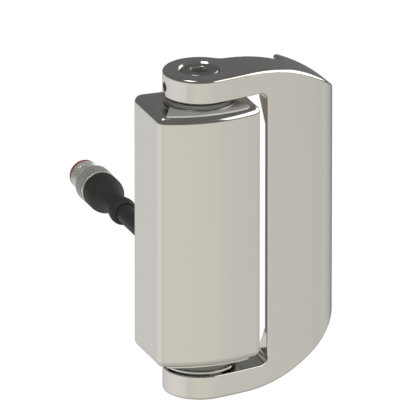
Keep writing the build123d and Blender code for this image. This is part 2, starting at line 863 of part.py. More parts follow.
# Contact carrier: a thin tube with a key round the contacts, a collar that holds the nut and a
# stem in the grip
with BuildPart() as contact_carrier:
    with BuildSketch(plug_section):
        with BuildLine():
            Polyline(
                on_plug(carrier_recess, carrier_radius - carrier_wall),
                on_plug(carrier_recess, carrier_radius),
                on_plug(collar_start, carrier_radius),
                on_plug(collar_start, carrier_collar_radius),
                on_plug(collar_end, carrier_collar_radius),
                on_plug(collar_end, carrier_radius),
                on_plug(carrier_end, carrier_radius),
                on_plug(carrier_end, 0),
                on_plug(carrier_floor, 0),
                on_plug(carrier_floor, carrier_radius - carrier_wall),
                close=True,
            )
        make_face()
    revolve(axis=plug_axis)
    with BuildSketch(across_cable(plug_tip - carrier_floor)):
        with Locations((0, carrier_radius - carrier_wall / 2)):
            Rectangle(key_width, key_height + carrier_wall / 2, align=(Align.CENTER, Align.MAX))
    extrude(amount=carrier_floor - carrier_recess)
    with BuildSketch(across_cable(plug_tip - carrier_end)):
        with PolarLocations(contact_circle_radius, contact_count, start_angle=45):
            Circle(contact_radius)
    extrude(amount=carrier_end - carrier_floor, mode=Mode.SUBTRACT)

contact_carrier.part.label = "contact_carrier"
export_step(contact_carrier.part, "parts/contact_carrier.step")

# Four contact pins with rounded tips
with BuildPart() as contact_pins:
    with BuildSketch(across_cable(plug_tip - contact_end)):
        with PolarLocations(contact_circle_radius, contact_count, start_angle=45):
            Circle(contact_radius)
    extrude(amount=contact_end - contact_tip)
    fillet(contact_pins.edges().group_by(Axis.Y)[-1], radius=contact_radius / 2)

contact_pins.part.label = "contact_pins"
export_step(contact_pins.part, "parts/contact_pins.step")

# Seal ring at the plug's open end
with BuildPart() as plug_seal:
    with BuildSketch(across_cable(plug_tip)):
        Circle(seal_ring_radius)
        Circle(carrier_radius + seat_clearance, mode=Mode.SUBTRACT)
    extrude(amount=-seal_ring_thickness)

plug_seal.part.label = "plug_seal"
export_step(plug_seal.part, "parts/plug_seal.step")

# Coupling nut, held by the carrier's collar and turning between it and the grip
with BuildPart() as coupling_nut:
    with BuildSketch(plug_section):
        with BuildLine():
            Polyline(
                on_plug(nut_start, thread_bore_radius),
                on_plug(nut_start, thread_radius - thread_chamfer),
                on_plug(nut_start + thread_chamfer, thread_radius),
                on_plug(thread_end, thread_radius),
                on_plug(thread_end, knurl_radius - knurl_chamfer),
                on_plug(thread_end + knurl_chamfer, knurl_radius),
                on_plug(knurl_end - knurl_chamfer, knurl_radius),
                on_plug(knurl_end, knurl_radius - knurl_chamfer),
                on_plug(knurl_end, nut_rear_bore_radius),
                on_plug(thread_end + nut_web, nut_rear_bore_radius),
                on_plug(thread_end + nut_web, thread_bore_radius),
                close=True,
            )
        make_face()
    revolve(axis=plug_axis)
    with BuildSketch(across_cable(plug_tip - knurl_end)):
        with PolarLocations(knurl_radius, knurl_groove_count):
            Circle(knurl_groove_radius)
    extrude(amount=knurl_end - thread_end, mode=Mode.SUBTRACT)

coupling_nut.part.label = "coupling_nut"
export_step(coupling_nut.part, "parts/coupling_nut.step")
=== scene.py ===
"""Looks of a safety hinge switch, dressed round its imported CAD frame.

The castings, pins, bushes and the sensor bay keep their CAD solids and get metal, plastic and
rubber finishes. The plug's nut gets its screw thread and knurl, and the cable is a curve. Lengths
are in metres, +Z is up and -Y is the front.
"""

from __future__ import annotations

import json
import logging
import math
from dataclasses import dataclass, field
from enum import Enum

import bmesh
import bpy
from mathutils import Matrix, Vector

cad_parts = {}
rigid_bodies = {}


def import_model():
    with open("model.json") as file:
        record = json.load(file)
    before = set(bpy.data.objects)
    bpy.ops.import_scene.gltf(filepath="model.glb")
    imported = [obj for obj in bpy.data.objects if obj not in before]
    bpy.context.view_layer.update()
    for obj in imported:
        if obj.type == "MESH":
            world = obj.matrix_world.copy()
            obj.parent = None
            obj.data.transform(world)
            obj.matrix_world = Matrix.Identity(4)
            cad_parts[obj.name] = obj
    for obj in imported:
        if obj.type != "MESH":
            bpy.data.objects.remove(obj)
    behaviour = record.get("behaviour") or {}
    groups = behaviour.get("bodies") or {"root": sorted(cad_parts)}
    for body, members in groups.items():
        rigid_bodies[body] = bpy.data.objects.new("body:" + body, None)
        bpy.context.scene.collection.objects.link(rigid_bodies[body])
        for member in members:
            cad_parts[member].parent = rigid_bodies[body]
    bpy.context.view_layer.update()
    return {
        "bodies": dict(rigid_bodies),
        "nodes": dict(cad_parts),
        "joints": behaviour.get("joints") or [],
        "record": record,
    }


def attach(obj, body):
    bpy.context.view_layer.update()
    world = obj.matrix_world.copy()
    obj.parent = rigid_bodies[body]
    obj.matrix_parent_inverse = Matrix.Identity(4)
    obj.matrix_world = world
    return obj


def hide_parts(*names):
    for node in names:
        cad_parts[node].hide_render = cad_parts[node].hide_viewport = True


MM = 0.001
MIDDLE_OF_NOISE = 0.5
FULL_TURN = 360.0
# Where azimuth 0 lies on a colour ramp that goes round the whole horizon.
RAMP_FRONT = 0.5
# Colour sockets of a Mix node: the two inputs and the result.
MIX_FIRST, MIX_SECOND, MIX_RESULT = 6, 7, 2
Colour = tuple[float, float, float]
# Where a smooth step starts and ends, and its results there.
Step = tuple[float, float, float, float]
log = logging.getLogger("hinge_switch")


def set_inputs(node: bpy.types.Node, values: dict[str, object]) -> None:
    """Sets the values of a node's inputs.

    Args:
        node: The node.
        values: The value of each input, by the input's name.
    """
    for name, value in values.items():
        node.inputs[name].default_value = value


def add_node(tree: bpy.types.NodeTree, kind: str, **values: object) -> bpy.types.Node:
    """Adds a node and sets its properties.

    Args:
        tree: The node tree that gets it.
        kind: The node's type name.
        **values: Properties of the node and their values.

    Returns:
        The new node.
    """
    node = tree.nodes.new(kind)
    for name, value in values.items():
        setattr(node, name, value)
    return node


def math_node(
    tree: bpy.types.NodeTree, operation: str, first: object, second: object
) -> bpy.types.NodeSocket:
    """Adds a Math node on two numbers or sockets.

    Args:
        tree: The node tree that gets it.
        operation: The Math node's operation.
        first: A number, or a socket that gives one.
        second: A number, or a socket that gives one.

    Returns:
        The node's output socket.
    """
    node = add_node(tree, "ShaderNodeMath", operation=operation)
    for index, value in enumerate((first, second)):
        if isinstance(value, bpy.types.NodeSocket):
            tree.links.new(value, node.inputs[index])
        else:
            node.inputs[index].default_value = value
    return node.outputs[0]


def smooth_step(
    tree: bpy.types.NodeTree, value: bpy.types.NodeSocket, ends: Step
) -> bpy.types.NodeSocket:
    """Adds a smooth Map Range node.

    Args:
        tree: The node tree that gets it.
        value: The number that is mapped.
        ends: Where the step starts and ends, and the results there.

    Returns:
        The node's output socket.
    """
    node = add_node(tree, "ShaderNodeMapRange", interpolation_type="SMOOTHSTEP")
    tree.links.new(value, node.inputs["Value"])
    set_inputs(node, dict(zip(("From Min", "From Max", "To Min", "To Max"), ends)))
    return node.outputs["Result"]


def group_sockets(
    group: bpy.types.NodeTree, kinds: dict[str, str], out: bool = False
) -> dict[str, str]:
    """Adds named sockets to a node group.

    Args:
        group: The node group.
        kinds: The type of each socket, by the socket's name.
        out: True for outputs, False for inputs.

    Returns:
        The identifier of each socket, by the socket's name.
    """
    side = "OUTPUT" if out else "INPUT"
    identifiers: dict[str, str] = {}
    for name, kind in kinds.items():
        made = group.interface.new_socket(name, in_out=side, socket_type=f"NodeSocket{kind}")
        identifiers[name] = made.identifier
    return identifiers


def grain_group() -> bpy.types.NodeTree:
    """Builds the surface grain that every finish uses.

    Fine noise on the object's own coordinates gives a bump height, and a broad one varies the
    roughness and darkens the colour a little.

    Returns:
        The shader node group, with outputs Colour, Roughness and Height.
    """
    group = bpy.data.node_groups.new("surface_grain", "ShaderNodeTree")
    group_sockets(
        group,
        {
            "Colour": "Color",
            "Roughness": "Float",
            "Fine Scale": "Float",
            "Broad Scale": "Float",
            "Roughness Spread": "Float",
            "Colour Spread": "Float",
            "Vector": "Vector",
        },
    )
    group_sockets(group, {"Colour": "Color", "Roughness": "Float", "Height": "Float"}, out=True)
    given = add_node(group, "NodeGroupInput")
    result = add_node(group, "NodeGroupOutput")
    fine = add_node(group, "ShaderNodeTexNoise")
    broad = add_node(group, "ShaderNodeTexNoise")
    for noise, scale, detail in ((fine, "Fine Scale", 2.0), (broad, "Broad Scale", 3.0)):
        set_inputs(noise, {"Detail": detail})
        group.links.new(given.outputs["Vector"], noise.inputs["Vector"])
        group.links.new(given.outputs[scale], noise.inputs["Scale"])
    wave = math_node(group, "SUBTRACT", broad.outputs["Fac"], MIDDLE_OF_NOISE)
    spread = math_node(group, "MULTIPLY", wave, given.outputs["Roughness Spread"])
    rough = math_node(group, "ADD", spread, given.outputs["Roughness"])
    shade = math_node(group, "MULTIPLY", wave, given.outputs["Colour Spread"])
    level = math_node(group, "ADD", shade, 1.0)
    tint = add_node(group, "ShaderNodeVectorMath", operation="SCALE")
    group.links.new(given.outputs["Colour"], tint.inputs[0])
    group.links.new(level, tint.inputs["Scale"])
    group.links.new(tint.outputs[0], result.inputs["Colour"])
    group.links.new(rough, result.inputs["Roughness"])
    group.links.new(fine.outputs["Fac"], result.inputs["Height"])
    return group


def heading(azimuth: float, elevation: float) -> Vector:
    """Returns the unit vector towards an azimuth from the front and an elevation, in degrees."""
    turn, rise = math.radians(azimuth), math.radians(elevation)
    return Vector(
        (math.sin(turn) * math.cos(rise), -math.cos(turn) * math.cos(rise), math.sin(rise))
    )


@dataclass(frozen=True)
class Finish:
    """One surface finish, made as a material round the shared grain group.

    Args:
        name: The material's name.
        colour: Base colour, linear.
        roughness: Mean roughness.
        metallic: 1 for metal, 0 for the rest.
        fine_scale: Scale of the bump's noise, per metre.
        bump: Height of the bump, in metres.
        roughness_spread: How much the roughness varies.
        colour_spread: How much the colour varies.
        coat: Weight of a thin clear coat.
        stretch: Scale of the noise along X, Y and Z, for brushed or turned marks.
        gloss: Specular level of a finish that isn't metal.
        broad_scale: Scale of the noise that varies the roughness and the colour, per metre.
    """

    name: str
    colour: Colour
    roughness: float
    metallic: float = 0.0
    fine_scale: float = 4000.0
    bump: float = 0.000004
    roughness_spread: float = 0.05
    colour_spread: float = 0.04
    coat: float = 0.0
    stretch: tuple[float, float, float] = (1.0, 1.0, 1.0)
    gloss: float = 0.5
    broad_scale: float = 60.0

    def build(self, grain: bpy.types.NodeTree) -> bpy.types.Material:
        """Builds the material.

        Args:
            grain: The shared grain group.

        Returns:
            The finished material.
        """
        material = bpy.data.materials.new(self.name)
        material.use_nodes = True
        tree = material.node_tree
        shader = tree.nodes["Principled BSDF"]
        set_inputs(
            shader,
            {
                "Metallic": self.metallic,
                "Coat Weight": self.coat,
                "Specular IOR Level": self.gloss,
            },
        )
        place = add_node(tree, "ShaderNodeTexCoord")
        turn = add_node(tree, "ShaderNodeMapping")
        set_inputs(turn, {"Scale": self.stretch})
        effect = add_node(tree, "ShaderNodeGroup", node_tree=grain)
        set_inputs(
            effect,
            {
                "Colour": (*self.colour, 1.0),
                "Roughness": self.roughness,
                "Fine Scale": self.fine_scale,
                "Broad Scale": self.broad_scale,
                "Roughness Spread": self.roughness_spread,
                "Colour Spread": self.colour_spread,
            },
        )
        bump = add_node(tree, "ShaderNodeBump")
        set_inputs(bump, {"Distance": self.bump, "Strength": 1.0})
        tree.links.new(place.outputs["Object"], turn.inputs["Vector"])
        tree.links.new(turn.outputs["Vector"], effect.inputs["Vector"])
        tree.links.new(effect.outputs["Colour"], shader.inputs["Base Color"])
        tree.links.new(effect.outputs["Roughness"], shader.inputs["Roughness"])
        tree.links.new(effect.outputs["Height"], bump.inputs["Height"])
        tree.links.new(bump.outputs["Normal"], shader.inputs["Normal"])
        return material


class Zone(Enum):
    """Which part of a piece a second finish covers."""

    BORE = "bore"
    ENDS = "ends"


@dataclass(frozen=True)
class ZonedFinish(Finish):
    """A finish with another one over a zone of the piece.

    Args:
        zone: The bore near the hinge's axis, where the pin's socket gets a painted shade, or the
            faces beyond the ends.
        limit: The bore's radius, or the distance of the ends from the middle.
        middle: The bore's centre, or the middle between the ends.
        cut: The zone's finish.
    """

    zone: Zone = Zone.BORE
    limit: float = 0.0
    middle: Vector = field(default_factory=Vector)
    cut: Finish | None = None

    def mask(self, tree: bpy.types.NodeTree) -> bpy.types.NodeSocket:
        """Returns a socket that is 1 in the zone and 0 outside it."""
        place = add_node(tree, "ShaderNodeTexCoord")
        away = add_node(tree, "ShaderNodeVectorMath", operation="SUBTRACT")
        tree.links.new(place.outputs["Object"], away.inputs[0])
        away.inputs[1].default_value = self.middle
        keep = add_node(tree, "ShaderNodeVectorMath", operation="MULTIPLY")
        tree.links.new(away.outputs[0], keep.inputs[0])
        keep.inputs[1].default_value = (1, 1, 0) if self.zone is Zone.BORE else (0, 0, 1)
        reach = add_node(tree, "ShaderNodeVectorMath", operation="LENGTH")
        tree.links.new(keep.outputs[0], reach.inputs[0])
        test = "LESS_THAN" if self.zone is Zone.BORE else "GREATER_THAN"
        return math_node(tree, test, reach.outputs["Value"], self.limit)

    def build(self, grain: bpy.types.NodeTree) -> bpy.types.Material:
        """Builds the material, and mixes the zone's colour, roughness and metal into it.

        Args:
            grain: The shared grain group.

        Returns:
            The finished material.
        """
        material = super().build(grain)
        tree = material.node_tree
        shader = tree.nodes["Principled BSDF"]
        inside = self.mask(tree)
        tint = shader.inputs["Base Color"]
        colour = add_node(tree, "ShaderNodeMix", data_type="RGBA")
        tree.links.new(inside, colour.inputs["Factor"])
        tree.links.new(tint.links[0].from_socket, colour.inputs[MIX_FIRST])
        colour.inputs[MIX_SECOND].default_value = (*self.cut.colour, 1.0)
        tree.links.new(colour.outputs[MIX_RESULT], tint)
        rough = shader.inputs["Roughness"]
        outside = math_node(tree, "SUBTRACT", 1.0, inside)
        kept = math_node(tree, "MULTIPLY", outside, rough.links[0].from_socket)
        added = math_node(tree, "MULTIPLY", inside, self.cut.roughness)
        tree.links.new(math_node(tree, "ADD", kept, added), rough)
        bare = math_node(tree, "MULTIPLY", outside, self.metallic)
        metal = math_node(tree, "MULTIPLY", inside, self.cut.metallic)
        tree.links.new(math_node(tree, "ADD", bare, metal), shader.inputs["Metallic"])
        return material


POLISH: dict[str, object] = {
    "colour": (0.56, 0.535, 0.49),
    "roughness": 0.13,
    "metallic": 1.0,
    "fine_scale": 900.0,
    "bump": 0.0000012,
    "roughness_spread": 0.03,
    "colour_spread": 0.02,
}
POLISHED_CASTING = Finish("polished_cast_steel", **POLISH)
MACHINED_FACE = Finish("machined_face", (0.62, 0.61, 0.58), 0.45, metallic=0.55)
BODY_CASTING = ZonedFinish(
    "polished_body_casting",
    **POLISH,
    zone=Zone.ENDS,
    limit=51.1 * MM,
    middle=Vector((0.0, 0.0, 1.0)) * MM,
    cut=MACHINED_FACE,
)
TURNED_STEEL = Finish(
    "turned_steel",
    (0.5, 0.49, 0.46),
    0.2,
    metallic=1.0,
    fine_scale=6000.0,
    bump=0.0000015,
    roughness_spread=0.06,
    colour_spread=0.03,
)
# Painted shade: the pin's hex socket gets a flat dark grey that stands in for the shade inside
# the recess.
SOCKET_PAINTED_SHADE = Finish("socket_painted_shade", (0.12, 0.12, 0.105), 0.6)
# The pin's steel, with the socket's painted shade mixed in within the socket's radius.
PIN_STEEL = ZonedFinish(
    "pin_steel_and_socket_painted_shade",
    (0.35, 0.345, 0.31),
    0.24,
    metallic=1.0,
    fine_scale=6000.0,
    bump=0.0000015,
    roughness_spread=0.06,
    zone=Zone.BORE,
    limit=3.6 * MM,
    middle=Vector((0.0, -16.5, 0.0)) * MM,
    cut=SOCKET_PAINTED_SHADE,
)
WASHER_PLASTIC = Finish(
    "grey_washer",
    (0.22, 0.21, 0.19),
    0.45,
    fine_scale=3000.0,
    bump=0.000003,
    roughness_spread=0.06,
    colour_spread=0.06,
)
SCREW_STEEL = Finish(
    "screw_steel",
    (0.62, 0.6, 0.56),
    0.5,
    metallic=0.6,
    fine_scale=6000.0,
    bump=0.000002,
    colour_spread=0.05,
)
NICKEL = Finish(
    "nickel_plate",
    (0.68, 0.68, 0.63),
    0.5,
    metallic=0.85,
    fine_scale=5000.0,
    bump=0.000002,
    roughness_spread=0.1,
    colour_spread=1.1,
    broad_scale=2200.0,
)
BLACK_GRIP = Finish(
    "moulded_grip",
    (0.034, 0.033, 0.03),
    0.6,
    fine_scale=2500.0,
    bump=0.000006,
    roughness_spread=0.06,
    colour_spread=0.1,
    gloss=0.22,
)
BLACK_SHEATH = Finish(
    "cable_sheath",
    (0.034, 0.029, 0.028),
    0.55,
    fine_scale=1800.0,
    bump=0.000008,
    roughness_spread=0.06,
    colour_spread=0.1,
    gloss=0.3,
)
BLACK_RUBBER = Finish(
    "seal_rubber",
    (0.02, 0.02, 0.02),
    0.6,
    fine_scale=3000.0,
    bump=0.00001,
    roughness_spread=0.08,
    colour_spread=0.1,
)
RED_RUBBER = Finish(
    "red_seal",
    (0.33, 0.025, 0.045),
    0.5,
    fine_scale=3000.0,
    bump=0.000006,
    roughness_spread=0.06,
    colour_spread=0.08,
)
CARRIER_PLASTIC = Finish("contact_carrier", (0.03, 0.03, 0.03), 0.5, fine_scale=3000.0)
GOLD = Finish(
    "gold_plate",
    (0.85, 0.62, 0.25),
    0.25,
    metallic=1.0,
    fine_scale=5000.0,
    bump=0.000001,
    colour_spread=0.03,
)
BOARD = Finish(
    "board_lacquer",
    (0.02, 0.16, 0.06),
    0.35,
    fine_scale=1200.0,
    bump=0.000006,
    roughness_spread=0.1,
    colour_spread=0.15,
    coat=0.4,
)
SENSOR_RESIN = Finish(
    "sensor_resin", (0.02, 0.02, 0.022), 0.5, fine_scale=2500.0, bump=0.000005
)
CORE_SHEATH = Finish("core_sheath", (0.35, 0.2, 0.1), 0.45, fine_scale=2500.0)
MAGNET_PLATE = Finish("magnet_plate", (0.5, 0.5, 0.5), 0.2, metallic=1.0, bump=0.000001)


class Wardrobe:
    """Makes each finish's material once and dresses objects in it."""

    def __init__(self) -> None:
        """Builds the shared grain group."""
        self.grain = grain_group()
        self.made: dict[str, bpy.types.Material] = {}

    def material(self, finish: Finish) -> bpy.types.Material:
        """Returns a finish's material, built at its first use."""
        if finish.name not in self.made:
            self.made[finish.name] = finish.build(self.grain)
        return self.made[finish.name]

    def dress(self, piece: bpy.types.Object, finish: Finish) -> None:
        """Gives a piece one finish all over."""
        if piece.data.materials:
            piece.material_slots[0].material = self.material(finish)
        else:
            piece.data.materials.append(self.material(finish))


@dataclass
class PieceGroup:
    """CAD pieces that keep their solids and are only given a finish.

    Args:
        label: What the log calls them.
        finishes: The finish of each piece, by its node's name.
    """

    label: str = "plain"
    finishes: dict[str, Finish] = field(default_factory=dict)

    def dress(self, frame: dict, wardrobe: Wardrobe) -> None:
        """Finishes each piece of the group.

        Args:
            frame: The loaded CAD frame.
            wardrobe: The finishes.
        """
        for name, finish in self.finishes.items():
            wardrobe.dress(frame["nodes"][name], finish)
            log.info("%s piece %s", self.label, name)


@dataclass
class Castings(PieceGroup):
    """The fixed body, the moving leaf and the bay's cover, in polished cast steel."""

    label: str = "cast"
    finishes: dict[str, Finish] = field(
        default_factory=lambda: {
            "fixed_body": BODY_CASTING,
            "leaf": POLISHED_CASTING,
            "rear_cover": POLISHED_CASTING,
        }
    )


@dataclass
class HingeParts(PieceGroup):
    """The pins, bushes, washers and seals on the hinge's axis."""

    label: str = "hinge"
    finishes: dict[str, Finish] = field(
        default_factory=lambda: {
            "upper_pin": PIN_STEEL,
            "lower_pin": PIN_STEEL,
            "upper_bush": TURNED_STEEL,
            "lower_bush": TURNED_STEEL,
            "lower_ring": TURNED_STEEL,
            "upper_washer": WASHER_PLASTIC,
            "lower_washer": WASHER_PLASTIC,
            "upper_seal": BLACK_RUBBER,
            "lower_seal": BLACK_RUBBER,
            "spindle_seal": BLACK_RUBBER,
            "grub_screw": SCREW_STEEL,
            "magnet": MAGNET_PLATE,
        }
    )


@dataclass
class SensorBay(PieceGroup):
    """What the body's bay holds, and what seals and fixes its cover."""

    label: str = "bay"
    finishes: dict[str, Finish] = field(
        default_factory=lambda: {
            "sensor_board": BOARD,
            "sensor_head": SENSOR_RESIN,
            "bay_cores": CORE_SHEATH,
            "cover_gasket": BLACK_RUBBER,
            "cable_grommet": BLACK_RUBBER,
            "cover_screws": TURNED_STEEL,
        }
    )


@dataclass
class Plug(PieceGroup):
    """The plug's own CAD pieces: grip, contacts, seal ring and cores."""

    label: str = "plug"
    finishes: dict[str, Finish] = field(
        default_factory=lambda: {
            "plug_grip": BLACK_GRIP,
            "contact_carrier": CARRIER_PLASTIC,
            "contact_pins": GOLD,
            "plug_seal": RED_RUBBER,
            "plug_cores": CORE_SHEATH,
        }
    )


@dataclass
class Cable:
    """The straight lead from the bay to the plug.

    Args:
        height: Level of its axis.
        start: Where it begins, inside the bay.
        end: Where it ends, inside the plug's grip.
        radius: Its radius.
        exit: Where it leaves the cover. Not used.
        roundness: Segments in a quarter of its section.
        steps: Segments between two of its points.
        order: Order of its curve.
    """

    height: float = -22.7 * MM
    start: float = -6.0 * MM
    end: float = 75.5 * MM
    radius: float = 3.75 * MM
    exit: float = 0.0
    roundness: int = 8
    steps: int = 16
    order: int = 3

    def build(self, wardrobe: Wardrobe) -> bpy.types.Object:
        """Builds the lead as a NURBS curve with a round bevel.

        Args:
            wardrobe: The finishes.

        Returns:
            The curve object, riding on the fixed part.
        """
        curve = bpy.data.curves.new("cable_lead", "CURVE")
        curve.dimensions = "3D"
        curve.bevel_depth = self.radius
        curve.bevel_resolution = self.roundness
        curve.resolution_u = self.steps
        curve.use_fill_caps = True
        line = curve.splines.new("NURBS")
        reaches = (self.start, (self.start + self.end) / 2, self.end)
        line.points.add(len(reaches) - 1)
        for point, reach in zip(line.points, reaches):
            point.co = (0.0, reach, self.height, 1.0)
        line.order_u = self.order
        line.use_endpoint_u = True
        piece = bpy.data.objects.new("cable_lead", curve)
        bpy.context.scene.collection.objects.link(piece)
        wardrobe.dress(piece, BLACK_SHEATH)
        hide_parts("cable")
        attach(piece, "fixed_part")
        return piece

    def declare(self) -> None:
        """Logs the lead's length.
        """
        log.info("cable %.1f mm long", (self.end - self.start) / MM)


@dataclass
class CouplingNut:
    """The plug's turning nut: a sleeve with a screw thread, and a knurled ring behind it.

    Positions run from the plug's open end towards the cable, which is towards -Y.

    Args:
        tip: Where the plug's open end stands, along Y.
        height: Level of its axis.
        start: Position of the sleeve's open end.
        thread_end: Where the sleeve ends and the ring begins.
        web_end: Where the ring's wider bore begins.
        knurl_end: Position of the ring's back.
        bore_radius: The sleeve's inner radius.
        rear_bore_radius: Radius of the ring's wider bore.
        thread_radius: The thread's outer radius.
        thread_depth: How far its ridge stands out.
        thread_pitch: Its rise in one turn.
        thread_lead_in: Plain length at the sleeve's open end.
        thread_run_out: Plain length between the thread and the ring.
        knurl_radius: The ring's radius over the ribs.
        rib_radius: Radius of one rib's own section.
        rib_count: Number of ribs.
        rib_sides: Sides of one rib.
        rim_width: Width of the plain rim behind the ribs.
        rim_radius: The rim's outer radius.
        groove: Width and depth of the groove between the ribs and the rim.
        chamfer: Size of the chamfers on the ring.
        sleeve_chamfer: Size of the chamfer at the sleeve's open end.
        sides: Sides of the turned body.
        thread_steps: Segments in one turn of the thread.
        ridge_sides: Sides of the thread's ridge.
        sharp_angle: The angle from which an edge stays sharp, in degrees.
    """

    tip: float = 115.3 * MM
    height: float = -22.7 * MM
    start: float = 1.05 * MM
    thread_end: float = 10.8 * MM
    web_end: float = 11.8 * MM
    knurl_end: float = 19.0 * MM
    bore_radius: float = 4.85 * MM
    rear_bore_radius: float = 6.6 * MM
    thread_radius: float = 6.0 * MM
    thread_depth: float = 0.3 * MM
    thread_pitch: float = 1.0 * MM
    thread_lead_in: float = 0.5 * MM
    thread_run_out: float = 1.4 * MM
    knurl_radius: float = 7.5 * MM
    rib_radius: float = 0.33 * MM
    rib_count: int = 64
    rib_sides: int = 8
    rim_width: float = 1.5 * MM
    rim_radius: float = 7.4 * MM
    groove: float = 0.35 * MM
    chamfer: float = 0.4 * MM
    sleeve_chamfer: float = 0.1 * MM
    sides: int = 128
    thread_steps: int = 48
    ridge_sides: int = 6
    sharp_angle: float = 35.0

    def profile(self) -> list[tuple[float, float]]:
        """Returns the body's closed profile as positions and radii, outside first."""
        root = self.thread_radius - self.thread_depth
        core = self.knurl_radius - self.rib_radius
        rim_start = self.knurl_end - self.rim_width
        return [
            (self.start, self.bore_radius),
            (self.start, root - self.sleeve_chamfer),
            (self.start + self.sleeve_chamfer, root),
            (self.thread_end, root),
            (self.thread_end, core - self.chamfer),
            (self.thread_end + self.chamfer, core),
            (rim_start - self.groove, core),
            (rim_start - self.groove, core - self.groove),
            (rim_start, core - self.groove),
            (rim_start, self.rim_radius - self.groove / 2),
            (rim_start + self.groove / 2, self.rim_radius),
            (self.knurl_end - self.chamfer, self.rim_radius),
            (self.knurl_end, self.rim_radius - self.chamfer),
            (self.knurl_end, self.rear_bore_radius),
            (self.web_end, self.rear_bore_radius),
            (self.web_end, self.bore_radius),
        ]

    def body(self) -> bpy.types.Mesh:
        """Turns the profile round the plug's axis into a closed mesh."""
        shape = bmesh.new()
        rings = []
        for side in range(self.sides):
            angle = 2 * math.pi * side / self.sides
            rings.append(
                [
                    shape.verts.new(
                        (
                            radius * math.sin(angle),
                            self.tip - position,
                            self.height + radius * math.cos(angle),
                        )
                    )
                    for position, radius in self.profile()
                ]
            )
        for ring, following in zip(rings, rings[1:] + rings[:1]):
            for index, corner in enumerate(ring):
                before = index - 1
                shape.faces.new((corner, following[index], following[before], ring[before]))
        bmesh.ops.recalc_face_normals(shape, faces=shape.faces)
        mesh = bpy.data.meshes.new("nut_body")
        shape.to_mesh(mesh)
        shape.free()
        return mesh

    def thread(
        self, group: bpy.types.NodeTree, given: bpy.types.NodeOutputs
    ) -> bpy.types.NodeSocket:
        """Adds the nodes of the thread: a ridge swept along a right-hand helix.

        Args:
            group: The node tree that gets them.
            given: The tree's inputs.

        Returns:
            The thread's mesh, round the Z axis.
        """
        helix = add_node(group, "GeometryNodeCurveSpiral")
        set_inputs(helix, {"Resolution": self.thread_steps, "Reverse": True})
        group.links.new(given["Thread Turns"], helix.inputs["Rotations"])
        group.links.new(given["Thread Radius"], helix.inputs["Start Radius"])
        group.links.new(given["Thread Radius"], helix.inputs["End Radius"])
        group.links.new(given["Thread Length"], helix.inputs["Height"])
        ridge = add_node(group, "GeometryNodeCurvePrimitiveCircle", mode="RADIUS")
        set_inputs(ridge, {"Resolution": self.ridge_sides})
        group.links.new(given["Thread Ridge"], ridge.inputs["Radius"])
        sweep = add_node(group, "GeometryNodeCurveToMesh")
        set_inputs(sweep, {"Fill Caps": True})
        group.links.new(helix.outputs["Curve"], sweep.inputs["Curve"])
        group.links.new(ridge.outputs["Curve"], sweep.inputs["Profile Curve"])
        return sweep.outputs["Mesh"]

    def ribs(
        self, group: bpy.types.NodeTree, given: bpy.types.NodeOutputs
    ) -> bpy.types.NodeSocket:
        """Adds the nodes of the knurl: thin cylinders on the points of a circle.

        Args:
            group: The node tree that gets them.
            given: The tree's inputs.

        Returns:
            The ribs as instances, round the Z axis.
        """
        circle = add_node(group, "GeometryNodeMeshCircle")
        group.links.new(given["Rib Count"], circle.inputs["Vertices"])
        group.links.new(given["Rib Circle"], circle.inputs["Radius"])
        rib = add_node(group, "GeometryNodeMeshCylinder")
        set_inputs(rib, {"Vertices": self.rib_sides})
        group.links.new(given["Rib Radius"], rib.inputs["Radius"])
        group.links.new(given["Rib Length"], rib.inputs["Depth"])
        spread = add_node(group, "GeometryNodeInstanceOnPoints")
        group.links.new(circle.outputs["Mesh"], spread.inputs["Points"])
        group.links.new(rib.outputs["Mesh"], spread.inputs["Instance"])
        return spread.outputs["Instances"]

    def tree(self) -> tuple[bpy.types.NodeTree, dict[str, str]]:
        """Builds the node tree that adds the thread and the knurl to the body.

        Returns:
            The Geometry Nodes tree, and its inputs' identifiers by name.
        """
        group = bpy.data.node_groups.new("thread_and_knurl", "GeometryNodeTree")
        inputs = group_sockets(
            group,
            {
                "Body": "Geometry",
                "Finish": "Material",
                "Thread Turns": "Float",
                "Thread Radius": "Float",
                "Thread Length": "Float",
                "Thread Ridge": "Float",
                "Thread Place": "Vector",
                "Rib Count": "Int",
                "Rib Circle": "Float",
                "Rib Radius": "Float",
                "Rib Length": "Float",
                "Rib Place": "Vector",
            },
        )
        group_sockets(group, {"Nut": "Geometry"}, out=True)
        given = add_node(group, "NodeGroupInput").outputs
        result = add_node(group, "NodeGroupOutput")
        join = add_node(group, "GeometryNodeJoinGeometry")
        for made, place in (
            (self.thread(group, given), "Thread Place"),
            (self.ribs(group, given), "Rib Place"),
        ):
            move = add_node(group, "GeometryNodeTransform")
            set_inputs(move, {"Rotation": (-math.pi / 2, 0.0, 0.0)})
            group.links.new(made, move.inputs["Geometry"])
            group.links.new(given[place], move.inputs["Translation"])
            group.links.new(move.outputs["Geometry"], join.inputs["Geometry"])
        group.links.new(given["Body"], join.inputs["Geometry"])
        real = add_node(group, "GeometryNodeRealizeInstances")
        finish = add_node(group, "GeometryNodeSetMaterial")
        group.links.new(join.outputs["Geometry"], real.inputs["Geometry"])
        group.links.new(real.outputs["Geometry"], finish.inputs["Geometry"])
        group.links.new(given["Finish"], finish.inputs["Material"])
        group.links.new(finish.outputs["Geometry"], result.inputs["Nut"])
        return group, inputs

